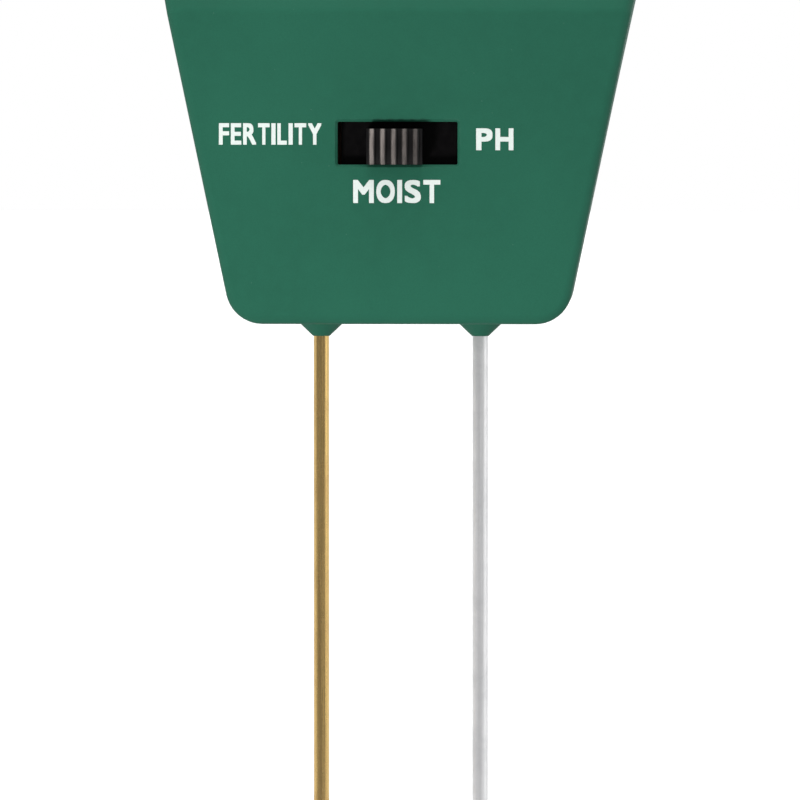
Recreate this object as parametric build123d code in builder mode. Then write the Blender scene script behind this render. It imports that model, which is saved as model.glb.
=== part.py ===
from build123d import *
import math
import os

# Two-probe soil meter for moisture, fertility and acidity.
# +Z is up, the front of the casing faces -Y, +X is the viewer's right; millimetres.
# The origin is midway between the two probes, at the level where they leave the casing.

os.makedirs("parts", exist_ok=True)

# ---------------------------------------------------------------- casing form
cone_h = 1.85  # cone under the casing at each probe
cone_tip_r, cone_base_r = 1.16, 3.1
base_z = cone_h  # underside of the casing
bottom_half = 22.5  # half width at the underside
side_slope = 0.2106  # the sides lean outwards, mm per mm
crease_z = base_z + 42.45  # where the front starts to lean back
knee_z = base_z + 55.45  # where the sides turn towards the shoulders
top_z = base_z + 88.3
shoulder_z = top_z - 1.2
top_half = 33.6
bottom_corner_r, knee_r, shoulder_r = 5.0, 40, 9.0
half_depth = 9.0  # lower casing, front and back of the probe plane
back_y = 28.6  # back of the head
back_bend_z = base_z + 30.95  # where the back leaves the vertical
back_knee_z = base_z + 56.95  # and where it meets it again
crease_r, back_knee_r, back_bend_r = 1.5, 9.0, 14.0
wall = 2.0
front_edge_r, back_edge_r = 1.2, 2.0
part_bend_z = base_z + 39.45  # the parting surface is upright up to here
part_top_y = 24.1  # its place at the top
reach = 60  # half size of the stock the form is cut from

# ---------------------------------------------------------------- dial frame
tilt = 32.0  # the display panel leans back from vertical
panel_out = 7.0  # scale surface to the outside of the display panel
pivot_up = 7.0  # crease to the needle's axis, along the panel
tilt_sin, tilt_cos = math.sin(math.radians(tilt)), math.cos(math.radians(tilt))
dial_normal = Vector(0, -tilt_cos, tilt_sin)
dial_up = Vector(0, tilt_sin, tilt_cos)
# x across, y up the slope, z out of the dial; the origin is on the needle's axis
dial = Plane(
    origin=(
        0,
        -half_depth + pivot_up * tilt_sin + panel_out * tilt_cos,
        crease_z + pivot_up * tilt_cos - panel_out * tilt_sin,
    ),
    x_dir=(1, 0, 0),
    z_dir=dial_normal,
)
dial_axis = Axis(dial.origin, dial_normal)
dial_section = Plane(origin=dial.origin, x_dir=(1, 0, 0), z_dir=-dial_up)  # its y is the axis

window_low_y, window_high_y = 4.5, 39.0
window_low_half, window_high_half = 23.7, 24.7
window_corner_r, window_bevel = 4.0, 0.7

plate_back, plate_thick = -1.25, 1.0  # scale plate
card_back = plate_back + plate_thick
arm_screw_x = 16.0  # screws that hold the movement's arms
dial_screw_x, dial_screw_y = 20.0, 42.4

# ---------------------------------------------------------------- probes
probe_x = 10.8
probe_r = 1.05
probe_len = 198.5
probe_tip = 9.0
neck_r = 0.8  # where the casing grips the probe
shank_r = 1.4  # between the collar and the solder lug
stud_r = 0.95
collar_r = 2.2
collar_z0, collar_z1 = base_z + 2.05, base_z + 3.65
lug_z, stud_z = base_z + 6.05, base_z + 10.45
ledge_z = base_z + 4.3

# ---------------------------------------------------------------- switch and board places
knob_w, knob_h, knob_out = 7.5, 4.8, 3.1
slide_travel = 3.9  # to each side of the middle position
switch_z = base_z + 24.45
slot_w, slot_h = knob_w + 2 * (slide_travel + 0.45), 5.8
slot_x = -0.15  # the slot is a touch left of the middle
slot_corner_r, slot_bevel = 0.2, 0.35
board_y0, board_y1 = -0.4, 1.2
board_screw_x = 17.0

# ---------------------------------------------------------------- screws
pilot_r, clear_r = 0.92, 1.05  # pilot and clearance holes of the small screws
small_screw_r, small_pitch, small_point = 0.88, 0.6, 0.4


def mirrored(x, *rest):
    """A spot on the left and the same spot on the right."""
    return [(-x, *rest), (x, *rest)]


lower_screws = mirrored(18.0, base_z + 10.95)
upper_screws = mirrored(29.9, base_z + 69.95)
lower_seat_y, upper_seat_y = 5.4, 22.0
lower_hole_end_y, upper_hole_end_y = -6.2, 11.0  # blind ends of the pilot holes
board_screws_at = mirrored(board_screw_x, switch_z)
# x, y in the dial's frame, radius
arm_posts = mirrored(arm_screw_x, 0.0, 2.3)
plate_posts = mirrored(dial_screw_x, dial_screw_y, 1.7)
dial_posts = arm_posts + plate_posts
post_spots = [(x, y) for x, y, radius in dial_posts]
# radius, height and middle z of the holes round each probe
probe_holes = [(neck_r + 0.03, 5, 2), (shank_r + 0.03, 3, ledge_z)]


# ---------------------------------------------------------------- shared helpers
def plane_at_y(y):
    """An upright plane at y that faces the front; its x and y are the world's x and z."""
    return Plane.XZ.offset(-y)


def dial_point(x, y, z):
    """A point given in the dial's frame."""
    return dial.from_local_coords((x, y, z))


def seat(point, direction):
    """A location at the point whose +Z runs along the direction."""
    return Location(Plane(origin=point, x_dir=(1, 0, 0), z_dir=direction))


def vertices_at(sketch, y):
    """The vertices of a sketch at height y."""
    return sketch.vertices().filter_by(lambda v: abs(v.Y - y) < 0.01)


def screw(head_r, head_h, thread_r, length, pitch, point):
    """Pan-head screw with a cross recess: head on z = 0, shank down -Z."""
    root_r = thread_r * 0.76
    profile = [
        (0, head_h), (head_r * 0.55, head_h), (head_r, head_h * 0.45), (head_r, 0), (root_r, 0),
    ]
    z = -0.5
    while z - pitch > -(length - point):
        profile += [
            (root_r, z),
            (thread_r, z - pitch * 0.42),
            (thread_r, z - pitch * 0.52),
            (root_r, z - pitch * 0.94),
        ]
        z -= pitch
    profile += [(root_r, -(length - point)), (0, -length)]
    with BuildPart() as piece:
        with BuildSketch(Plane.XZ):
            with BuildLine():
                Polyline(*profile, close=True)
            make_face()
        revolve(axis=Axis.Z)
        with BuildSketch(Plane.XY.offset(head_h)):
            Rectangle(head_r * 1.25, head_r * 0.26)
            Rectangle(head_r * 0.26, head_r * 1.25)
        extrude(amount=-head_h * 0.55, mode=Mode.SUBTRACT)
    return piece.part


def small_screw(head_r, head_h, length):
    """A screw for the small pilot holes."""
    return screw(head_r, head_h, small_screw_r, length, small_pitch, small_point)


def screw_set(screw_part, seats):
    """One copy of a screw on each seat."""
    with BuildPart() as piece:
        for location in seats:
            with Locations(location):
                add(screw_part)
    return piece.part


# ---------------------------------------------------------------- casing shapes
front_view = plane_at_y(-reach)
side_view = Plane.YZ.offset(-reach)


def front_outline(inset=0.0):
    """Front view of the casing, across and up, drawn in by inset."""
    knee_half = bottom_half + side_slope * (knee_z - base_z)
    with BuildSketch() as sketch:
        with BuildLine():
            Polyline(
                (-top_half, shoulder_z),
                (-knee_half, knee_z),
                (-bottom_half, base_z),
                (bottom_half, base_z),
                (knee_half, knee_z),
                (top_half, shoulder_z),
            )
            ThreePointArc((top_half, shoulder_z), (0, top_z), (-top_half, shoulder_z))
        make_face()
        fillet(vertices_at(sketch, base_z), bottom_corner_r)
        fillet(vertices_at(sketch, knee_z), knee_r)
        fillet(vertices_at(sketch, shoulder_z), shoulder_r)
        if inset:
            offset(amount=-inset, kind=Kind.INTERSECTION)
    return sketch.sketch


def side_outline(inset=0.0):
    """Side view of the casing, back and up, drawn in by inset; it overruns top and bottom."""
    high_z, low_z = top_z + 6, base_z - 6
    panel_y = -half_depth + (high_z - crease_z) * tilt_sin / tilt_cos
    with BuildSketch() as sketch:
        with BuildLine():
            Polyline(
                (-half_depth, low_z),
                (-half_depth, crease_z),
                (panel_y, high_z),
                (back_y, high_z),
                (back_y, back_knee_z),
                (half_depth, back_bend_z),
                (half_depth, low_z),
                close=True,
            )
        make_face()
        fillet(vertices_at(sketch, crease_z), crease_r)
        fillet(vertices_at(sketch, back_knee_z), back_knee_r)
        fillet(vertices_at(sketch, back_bend_z), back_bend_r)
        if inset:
            offset(amount=-inset, kind=Kind.INTERSECTION)
    return sketch.sketch


def prism(inset):
    """The casing's form with sharp rims, drawn in from its outside."""
    front_shape, side_shape = front_outline(inset), side_outline(inset)
    with BuildPart() as piece:
        with BuildSketch(front_view):
            add(front_shape)
        extrude(amount=-2 * reach)
        with BuildSketch(side_view):
            add(side_shape)
        extrude(amount=2 * reach, mode=Mode.INTERSECT)
    return piece.part


def front_region(shift=0.0):
    """Everything in front of the parting surface moved back by shift."""
    lean = part_top_y / (top_z - part_bend_z)
    front, low, high = -80, -30, 120
    with BuildPart() as piece:
        with BuildSketch(side_view):
            with BuildLine():
                Polyline(
                    (front, low),
                    (shift, low),
                    (shift, part_bend_z),
                    (shift + lean * (high - part_bend_z), high),
                    (front, high),
                    close=True,
                )
            make_face()
        extrude(amount=2 * reach)
    return piece.part


def band(outer_inset, inner_inset, near_shift, far_shift):
    """A band that follows the outline beside the parting surface."""
    outer, inner = front_outline(outer_inset), front_outline(inner_inset)
    near, far = front_region(near_shift), front_region(far_shift)
    with BuildPart() as piece:
        with BuildSketch(front_view):
            add(outer)
        extrude(amount=-2 * reach)
        with BuildSketch(front_view):
            add(inner)
        extrude(amount=-2 * reach, mode=Mode.SUBTRACT)
        add(far, mode=Mode.INTERSECT)
        add(near, mode=Mode.SUBTRACT)
    return piece.part


def window_shape(grow=0.0):
    """Display window in the dial's frame, grown by grow."""
    with BuildSketch() as sketch:
        with BuildLine():
            Polyline(
                (-window_low_half, window_low_y),
                (window_low_half, window_low_y),
                (window_high_half, window_high_y),
                (-window_high_half, window_high_y),
                close=True,
            )
        make_face()
        fillet(sketch.vertices(), window_corner_r)
        if grow:
            offset(amount=grow)
    return sketch.sketch


def is_rim(edge):
    """True for an edge that runs round the outline of the casing."""
    direction = edge.tangent_at(0.5)
    if edge.geom_type != GeomType.LINE:
        return True
    if abs(direction.Y) > 0.999:
        return False
    return not (abs(direction.X) > 0.999 and edge.center().Z > base_z + 1)


def is_front_rim(edge):
    """True for an edge on the front surface, upright or leaning."""
    middle = edge.center()
    behind = middle.Y + half_depth
    if middle.Z >= crease_z:
        behind = behind * tilt_cos - (middle.Z - crease_z) * tilt_sin
    return abs(behind) < 0.35


def is_back_rim(edge):
    """True for an edge on the back surface."""
    middle = edge.center()
    lean = (back_y - half_depth) / (back_knee_z - back_bend_z)
    surface_y = half_depth + lean * (middle.Z - back_bend_z)
    surface_y = min(back_y, max(half_depth, surface_y))
    return abs(middle.Y - surface_y) < 1.6


def casing_form():
    """The closed casing, with a shadow gap along the parting line and a cone at each probe."""
    front_shape, side_shape = front_outline(), side_outline()
    shadow_gap = band(-2, 0.35, -0.22, 0.22)
    with BuildPart() as piece:
        with BuildSketch(front_view):
            add(front_shape)
        extrude(amount=-2 * reach)
        with BuildSketch(side_view):
            add(side_shape)
        extrude(amount=2 * reach, mode=Mode.INTERSECT)
        fillet(piece.edges().filter_by(is_rim).filter_by(is_front_rim), front_edge_r)
        fillet(piece.edges().filter_by(is_rim).filter_by(is_back_rim), back_edge_r)
        add(shadow_gap, mode=Mode.SUBTRACT)
        with Locations(*mirrored(probe_x, 0, cone_h / 2)):
            Cone(cone_tip_r, cone_base_r, cone_h)
    return piece.part


form, cavity, front_space = casing_form(), prism(wall), front_region()


def form_half(mode):
    """The form's front half with Mode.INTERSECT, its rear half with Mode.SUBTRACT."""
    with BuildPart() as piece:
        add(form)
        add(front_space, mode=mode)
    return piece.part


# ---------------------------------------------------------------- casing pieces
front_boss_r, rear_boss_r, board_post_r = 2.6, 3.3, 2.4
case_pilot_r, case_clear_r, counterbore_r = 1.32, 1.45, 2.55
ledge_w, ledge_depth, ledge_h = 9.0, 10.0, 1.2
dial_post_h, dial_pilot_depth, board_pilot_depth = 6.5, 4.4, 5.4
lip_inset, groove_inset = 1.1, 1.0


def front_casing():
    half = form_half(Mode.INTERSECT)
    lip = band(lip_inset, wall, -0.6, 1.3)
    window_hole, window_rim = window_shape(), window_shape(window_bevel)
    with BuildPart() as piece:
        add(form)
        add(cavity, mode=Mode.SUBTRACT)
        # screw bosses, board posts, ledges over the probe collars, dial posts
        with BuildSketch(plane_at_y(back_y)):
            with Locations(*lower_screws, *upper_screws):
                Circle(front_boss_r)
        extrude(amount=60)
        with BuildSketch(plane_at_y(board_y0)):
            with Locations(*board_screws_at):
                Circle(board_post_r)
        extrude(amount=60)
        with Locations(*mirrored(probe_x, -ledge_depth / 2, ledge_z)):
            Box(ledge_w, ledge_depth, ledge_h)
        with BuildSketch(dial.offset(card_back)):
            for x, y, radius in dial_posts:
                with Locations((x, y)):
                    Circle(radius)
        extrude(amount=dial_post_h)
        # nothing stands out of the form or behind the parting surface, apart from the lip
        add(half, mode=Mode.INTERSECT)
        add(lip)
        for radius, height, z in probe_holes:
            with Locations(*mirrored(probe_x, 0, z)):
                Cylinder(radius, height, mode=Mode.SUBTRACT)
        # pilot holes
        for spots, start_y, end_y in (
            (lower_screws, 0, lower_hole_end_y),
            (upper_screws, upper_seat_y, upper_hole_end_y),
        ):
            with BuildSketch(plane_at_y(start_y)):
                with Locations(*spots):
                    Circle(case_pilot_r)
            extrude(amount=start_y - end_y, mode=Mode.SUBTRACT)
        with BuildSketch(plane_at_y(board_y0)):
            with Locations(*board_screws_at):
                Circle(pilot_r)
        extrude(amount=board_pilot_depth, mode=Mode.SUBTRACT)
        with BuildSketch(dial.offset(card_back)):
            with Locations(*post_spots):
                Circle(pilot_r)
        extrude(amount=dial_pilot_depth, mode=Mode.SUBTRACT)
        # display window with a bevelled rim
        with BuildSketch(dial.offset(3.0)):
            add(window_hole)
        extrude(amount=8, mode=Mode.SUBTRACT)
        with BuildSketch(dial.offset(panel_out)):
            add(window_rim)
        extrude(amount=-window_bevel, taper=45, mode=Mode.SUBTRACT)
        # switch slot with a bevelled rim
        with BuildSketch(plane_at_y(-half_depth - 1)):
            with Locations((slot_x, switch_z)):
                RectangleRounded(slot_w, slot_h, slot_corner_r)
        extrude(amount=-4, mode=Mode.SUBTRACT)
        with BuildSketch(plane_at_y(-half_depth)):
            with Locations((slot_x, switch_z)):
                RectangleRounded(
                    slot_w + 2 * slot_bevel, slot_h + 2 * slot_bevel, slot_corner_r + slot_bevel
                )
        extrude(amount=-slot_bevel, taper=45, mode=Mode.SUBTRACT)
    return piece.part


def rear_casing():
    half = form_half(Mode.SUBTRACT)
    lip_groove = band(groove_inset, wall + 0.02, 0.0, 1.5)
    with BuildPart() as piece:
        add(form)
        add(cavity, mode=Mode.SUBTRACT)
        with BuildSketch(plane_at_y(back_y)):
            with Locations(*lower_screws, *upper_screws):
                Circle(rear_boss_r)
        extrude(amount=60)
        with Locations(*mirrored(probe_x, ledge_depth / 2, ledge_z)):
            Box(ledge_w, ledge_depth, ledge_h)
        add(half, mode=Mode.INTERSECT)
        add(lip_groove, mode=Mode.SUBTRACT)
        for radius, height, z in probe_holes:
            with Locations(*mirrored(probe_x, 0, z)):
                Cylinder(radius, height, mode=Mode.SUBTRACT)
        # clearance holes and counterbores
        with BuildSketch(plane_at_y(40)):
            with Locations(*lower_screws, *upper_screws):
                Circle(case_clear_r)
        extrude(amount=60, mode=Mode.SUBTRACT)
        for spots, seat_y in ((lower_screws, lower_seat_y), (upper_screws, upper_seat_y)):
            with BuildSketch(plane_at_y(seat_y)):
                with Locations(*spots):
                    Circle(counterbore_r)
            extrude(amount=-20, mode=Mode.SUBTRACT)
    return piece.part


def casing_screws():
    case_screw = screw(
        head_r=2.3, head_h=1.6, thread_r=1.28, length=10.8, pitch=0.95, point=0.6
    )
    seats = [seat((x, lower_seat_y, z), (0, 1, 0)) for x, z in lower_screws]
    seats += [seat((x, upper_seat_y, z), (0, 1, 0)) for x, z in upper_screws]
    return screw_set(case_screw, seats)


lens_back, lens_depth = 3.9, 4.0
lens_flange_thick, lens_hollow_depth, lens_edge_r = 1.05, 2.8, 0.8


def is_lens_front(face):
    """True for a face centred on the lens's front plane."""
    return abs(dial.to_local_coords(face.center()).Z - (lens_back + lens_depth)) < 0.01


def window_lens():
    flange, block, hollow = window_shape(1.5), window_shape(-0.12), window_shape(-1.3)
    with BuildPart() as piece:
        with BuildSketch(dial.offset(lens_back)):
            add(flange)
        extrude(amount=lens_flange_thick)
        with BuildSketch(dial.offset(lens_back)):
            add(block)
        extrude(amount=lens_depth)
        lens_front = piece.faces().filter_by(is_lens_front)[0]
        fillet(lens_front.edges(), lens_edge_r)
        with BuildSketch(dial.offset(lens_back)):
            add(hollow)
        extrude(amount=lens_hollow_depth, mode=Mode.SUBTRACT)
    return piece.part


# ---------------------------------------------------------------- dial
needle_rest = 135.0  # degrees from +X in the plane of the dial
stop_angle, stop_radius = 6.6, 9.0  # stops lie this far outside the needle's sweep
stop_r, stop_h = 0.35, 1.7


def scale_plate():
    with BuildPart() as piece:
        with BuildSketch(dial.offset(plate_back)):
            with Locations((0, 23.3)):
                RectangleRounded(52.4, 41.8, 2.5)
            # lower tab, with an opening round the movement's axis
            RectangleRounded(38, 8.0, 2.5)
            RectangleRounded(27, 5.0, 2.0, mode=Mode.SUBTRACT)
            with Locations(*post_spots):
                Circle(clear_r, mode=Mode.SUBTRACT)
        extrude(amount=plate_thick)
    return piece.part


def scale_card():
    with BuildPart() as piece:
        with BuildSketch(dial.offset(card_back)):
            with Locations((0, 21.65)):
                RectangleRounded(51.4, 37.4, 2.0)
        extrude(amount=-card_back)
    return piece.part


def pointer_stops():
    with BuildPart() as piece:
        with BuildSketch(dial):
            for degrees in (needle_rest + stop_angle, 180 - needle_rest - stop_angle):
                angle = math.radians(degrees)
                with Locations((stop_radius * math.cos(angle), stop_radius * math.sin(angle))):
                    Circle(stop_r)
        extrude(amount=stop_h)
        circles = piece.edges().filter_by(GeomType.CIRCLE)
        chamfer(circles.filter_by(lambda e: dial.to_local_coords(e.center()).Z > 1), 0.12)
    return piece.part


def dial_screws():
    seats = [seat(dial_point(x, y, plate_back), -dial_normal) for x, y, radius in plate_posts]
    return screw_set(small_screw(head_r=1.7, head_h=1.2, length=4.6), seats)


# ---------------------------------------------------------------- meter movement
frame_back, frame_front = -11.6, -1.3
frame_r = 9.3
arm_back, arm_span, arm_w = -2.9, 37.4, 6.0
flux_back, flux_front, flux_r, flux_bore_r = -8.3, -2.7, 8.25, 6.4
floor_front, floor_bore_r = -10.7, 7.2
jewel_hole_r, jewel_r, jewel_head_r = 1.13, 1.1, 1.6
bridge_screw_x = 11.7
tag_x, tag_w, tag_back, tag_thick = 5.2, 1.6, -7.18, 0.4
tag_hole_y = -10.4


def movement_frame():
    with BuildPart() as piece:
        with BuildSketch(dial.offset(frame_back)):
            Circle(frame_r)
        extrude(amount=frame_front - frame_back)
        with BuildSketch(dial.offset(arm_back)):
            RectangleRounded(arm_span, arm_w, 2.9)
        extrude(amount=frame_front - arm_back)
        with BuildSketch(dial.offset(flux_back)):
            Circle(flux_r + 0.02)
        extrude(amount=9, mode=Mode.SUBTRACT)
        with BuildSketch(dial.offset(floor_front)):
            Circle(floor_bore_r)
        extrude(amount=9, mode=Mode.SUBTRACT)
        with BuildSketch(dial.offset(-12)):
            Circle(jewel_hole_r)
            with Locations((0, 4.6), (0, -4.6)):
                SlotOverall(7.5, 2.6)
        extrude(amount=3, mode=Mode.SUBTRACT)
        with BuildSketch(dial.offset(-3.5)):
            with Locations(*mirrored(arm_screw_x, 0)):
                Circle(clear_r)
        extrude(amount=3, mode=Mode.SUBTRACT)
        with BuildSketch(dial.offset(-2.6)):
            with Locations(*mirrored(bridge_screw_x, 0)):
                Circle(0.62)
        extrude(amount=3, mode=Mode.SUBTRACT)
        # sockets for the two solder tags
        with BuildSketch(dial.offset(tag_back - 0.02)):
            with Locations(*mirrored(tag_x, -7.9)):
                Rectangle(tag_w + 0.04, 4.0)
        extrude(amount=tag_thick + 0.04, mode=Mode.SUBTRACT)
    return piece.part


def movement_screws():
    seats = [seat(dial_point(x, y, arm_back), -dial_normal) for x, y, radius in arm_posts]
    return screw_set(small_screw(head_r=1.9, head_h=1.3, length=6.2), seats)


def flux_ring():
    with BuildPart() as piece:
        with BuildSketch(dial.offset(flux_back)):
            Circle(flux_r)
            Circle(flux_bore_r, mode=Mode.SUBTRACT)
        extrude(amount=flux_front - flux_back)
    return piece.part


magnet_r, magnet_back, magnet_h = 4.0, -7.5, 4.0


def core_magnet():
    with BuildPart() as piece:
        with BuildSketch(dial.offset(magnet_back)):
            Circle(magnet_r)
        extrude(amount=magnet_h)
        chamfer(piece.edges().filter_by(GeomType.CIRCLE), 0.25)
    return piece.part


def core_spacers():
    """Two blocks between the core magnet and the flux ring, above and below the axis."""
    with BuildPart() as piece:
        with BuildSketch(dial.offset(-6.8)):
            Circle(flux_bore_r - 0.02)
            Circle(magnet_r + 0.02, mode=Mode.SUBTRACT)
            Rectangle(2.8, 14, mode=Mode.INTERSECT)
        extrude(amount=2.6)
    return piece.part


# the coil loops round the magnet, its width on the dial's diagonal
coil_mid = -5.5
coil_h = 7.2  # height of the winding along the axis
coil_dir = (dial.x_dir + dial_up).normalized()
coil = Plane(
    origin=dial_point(0, 0, coil_mid), x_dir=coil_dir, z_dir=coil_dir.cross(dial_normal)
)


def coil_former():
    with BuildPart() as piece:
        with BuildSketch(coil):
            Rectangle(9.5, 5.7)
            Rectangle(8.9, 5.1, mode=Mode.SUBTRACT)
        extrude(amount=1.2, both=True)
        # a thin flange at each side of the winding
        for flange_z in (0.95, -1.2):
            with BuildSketch(coil.offset(flange_z)):
                Rectangle(10.6, 6.8)
                Rectangle(9.3, 5.5, mode=Mode.SUBTRACT)
            extrude(amount=0.25)
    return piece.part


def coil_winding():
    with BuildPart() as piece:
        with BuildSketch(coil):
            RectangleRounded(11.0, coil_h, 0.6)
            Rectangle(9.54, 5.74, mode=Mode.SUBTRACT)
        extrude(amount=0.92, both=True)
    return piece.part


# half sections round the dial's axis: radius, place along the axis
staff_front_z, staff_rear_z = coil_mid + coil_h / 2, coil_mid - coil_h / 2
foot_r, staff_r, staff_tip_r = 0.9, 0.45, 0.28
staff_profiles = [
    [
        (0, staff_front_z + 0.02), (foot_r, staff_front_z + 0.02),
        (foot_r, staff_front_z + 0.35), (staff_r, staff_front_z + 0.35),
        (staff_r, 2.2), (staff_tip_r, 2.25), (0, 2.72),
    ],
    [
        (0, staff_rear_z - 0.02), (foot_r, staff_rear_z - 0.02),
        (foot_r, staff_rear_z - 0.3), (staff_r, staff_rear_z - 0.3),
        (staff_r, -10.15), (staff_tip_r, -10.2), (0, -10.6),
    ],
]
jewel_profiles = [
    [
        (0, 2.86), (0.5, 2.45), (jewel_r, 2.45), (jewel_r, 4.02),
        (jewel_head_r, 4.02), (jewel_head_r, 4.45), (1.4, 4.6), (0, 4.6),
    ],
    [
        (0, -10.74), (0.5, -10.35), (jewel_r, -10.35), (jewel_r, -11.62),
        (jewel_head_r, -11.62), (jewel_head_r, -12.05), (1.4, -12.2), (0, -12.2),
    ],
]


def pivot_staffs():
    with BuildPart() as piece:
        with BuildSketch(dial_section):
            for profile in staff_profiles:
                with BuildLine():
                    Polyline(*profile, close=True)
                make_face()
        revolve(axis=dial_axis)
    return piece.part


def jewel_screws():
    with BuildPart() as piece:
        with BuildSketch(dial_section):
            for profile in jewel_profiles:
                with BuildLine():
                    Polyline(*profile, close=True)
                make_face()
        revolve(axis=dial_axis)
        # driver slots, front and rear
        for slot_floor, amount in ((4.25, 1), (-11.85, -1)):
            with BuildSketch(dial.offset(slot_floor)):
                Rectangle(4, 0.4)
            extrude(amount=amount, mode=Mode.SUBTRACT)
    return piece.part


spring_turns, spring_steps = 3.0, 16  # turns, and spline steps in each
spring_inner_r, spring_outer_r = 0.92, 3.06
spring_half_thick, spring_h = 0.06, 0.3
post_x = 3.35  # posts beside the springs' outer ends


def spiral(start_angle, handed):
    """A flat spiral strip whose outer end is at start_angle."""
    count = int(spring_turns * spring_steps)
    outside, inside = [], []
    for i in range(count + 1):
        part_way = i / count
        angle = math.radians(start_angle) + handed * part_way * spring_turns * 2 * math.pi
        radius = spring_outer_r + (spring_inner_r - spring_outer_r) * part_way
        for points, edge_r in (
            (outside, radius + spring_half_thick),
            (inside, radius - spring_half_thick),
        ):
            points.append((edge_r * math.cos(angle), edge_r * math.sin(angle)))
    with BuildSketch() as sketch:
        with BuildLine():
            Spline(*outside)
            Line(outside[-1], inside[-1])
            Spline(*inside[::-1])
            Line(inside[0], outside[0])
        make_face()
    return sketch.sketch


def hairspring(start_angle, handed, back):
    strip = spiral(start_angle, handed)
    with BuildPart() as piece:
        with BuildSketch(dial.offset(back)):
            add(strip)
        extrude(amount=spring_h)
    return piece.part


def front_hairspring():
    return hairspring(start_angle=0, handed=1, back=1.68)


def rear_hairspring():
    return hairspring(start_angle=180, handed=-1, back=-9.86)


def spring_collets():
    with BuildPart() as piece:
        for back, height in ((1.6, 0.5), (-9.95, 0.48)):
            with BuildSketch(dial.offset(back)):
                Circle(0.84)
                Circle(staff_r + 0.01, mode=Mode.SUBTRACT)
            extrude(amount=height)
    return piece.part


bridge_w, bridge_corner_r, bridge_foot_h = 3.6, 0.5, 0.8


def front_bridge():
    with BuildPart() as piece:
        with BuildSketch(dial.offset(3.15)):
            RectangleRounded(21.0, bridge_w, bridge_corner_r)
        extrude(amount=0.85)
        # legs, then feet
        with BuildSketch(dial.offset(frame_front)):
            with Locations(*mirrored(10.0, 0)):
                Rectangle(1.0, bridge_w)
        extrude(amount=4.6)
        with BuildSketch(dial.offset(frame_front)):
            with Locations(*mirrored(11.35, 0)):
                RectangleRounded(3.3, bridge_w, bridge_corner_r)
        extrude(amount=bridge_foot_h)
        with BuildSketch(dial.offset(-2)):
            Circle(jewel_hole_r)
            with Locations(*mirrored(bridge_screw_x, 0)):
                Circle(0.66)
        extrude(amount=8, mode=Mode.SUBTRACT)
    return piece.part


def bridge_screws():
    bridge_screw = screw(
        head_r=1.05, head_h=0.7, thread_r=0.6, length=1.9, pitch=0.35, point=0.2
    )
    spots = mirrored(bridge_screw_x, 0, frame_front + bridge_foot_h)
    return screw_set(bridge_screw, [seat(dial_point(*spot), dial_normal) for spot in spots])


def zero_adjuster():
    with BuildPart() as piece:
        with BuildSketch(dial.offset(2.62)):
            Circle(2.1)
            with Locations((0, -4.2)):
                RectangleRounded(1.5, 5.4, 0.6)
            with Locations((2.7, 0)):
                Rectangle(1.6, 0.8)
            Circle(1.15, mode=Mode.SUBTRACT)
            with Locations((0, -6.4)):
                Rectangle(0.5, 1.4, mode=Mode.SUBTRACT)
        extrude(amount=0.4)
        # post beside the front hairspring's outer end
        with BuildSketch(dial.offset(1.6)):
            with Locations((post_x, 0)):
                Rectangle(0.3, 0.8)
        extrude(amount=1.42)
    return piece.part


def rear_spring_anchor():
    anchor_back = -10.68
    with BuildPart() as piece:
        with BuildSketch(dial.offset(anchor_back)):
            with Locations((-4.4, 0)):
                Rectangle(2.4, 1.4)
        extrude(amount=0.3)
        with BuildSketch(dial.offset(anchor_back)):
            with Locations((-post_x, 0)):
                Rectangle(0.3, 0.8)
        extrude(amount=1.1)
    return piece.part


def meter_tags():
    with BuildPart() as piece:
        with BuildSketch(dial.offset(tag_back)):
            with Locations(*mirrored(tag_x, -9.3)):
                Rectangle(tag_w, 3.6)
        extrude(amount=tag_thick)
        with BuildSketch(dial.offset(-8)):
            with Locations(*mirrored(tag_x, tag_hole_y)):
                Circle(0.35)
        extrude(amount=2, mode=Mode.SUBTRACT)
    return piece.part


# ---------------------------------------------------------------- needle
needle_len = 31.0
needle_back, needle_thick = 0.9, 0.26
needle_mid = needle_back + needle_thick / 2
tail_weight_r, tail_weight_len, tail_weight_mid = 0.86, 2.7, 4.6
arm_weight_r, arm_weight_len, arm_weight_start = 0.44, 1.4, 2.4
rest_angle = math.radians(needle_rest)
# a frame whose x runs along the needle
needle = Plane(
    origin=dial.origin,
    x_dir=dial.x_dir * math.cos(rest_angle) + dial_up * math.sin(rest_angle),
    z_dir=dial_normal,
)
# along the needle, across it
needle_outline = [
    (0, -0.75), (6, -0.5), (needle_len - 4, -0.32), (needle_len, -0.06),
    (needle_len, 0.06), (needle_len - 4, 0.32), (6, 0.5), (0, 0.75),
]


def pointer():
    """Needle with its hub, tail and cross arms."""
    with BuildPart() as piece:
        with BuildSketch(needle.offset(0.6)):
            Circle(1.35)
        extrude(amount=0.8)
        with BuildSketch(needle.offset(needle_back)):
            with BuildLine():
                Polyline(*needle_outline, close=True)
            make_face()
            with Locations((-3.0, 0)):
                Rectangle(6.0, 0.9)
            Rectangle(0.6, 7.6)
        extrude(amount=needle_thick)
        with BuildSketch(needle):
            Circle(staff_r + 0.02)
        extrude(amount=3, mode=Mode.SUBTRACT)
    return piece.part


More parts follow.
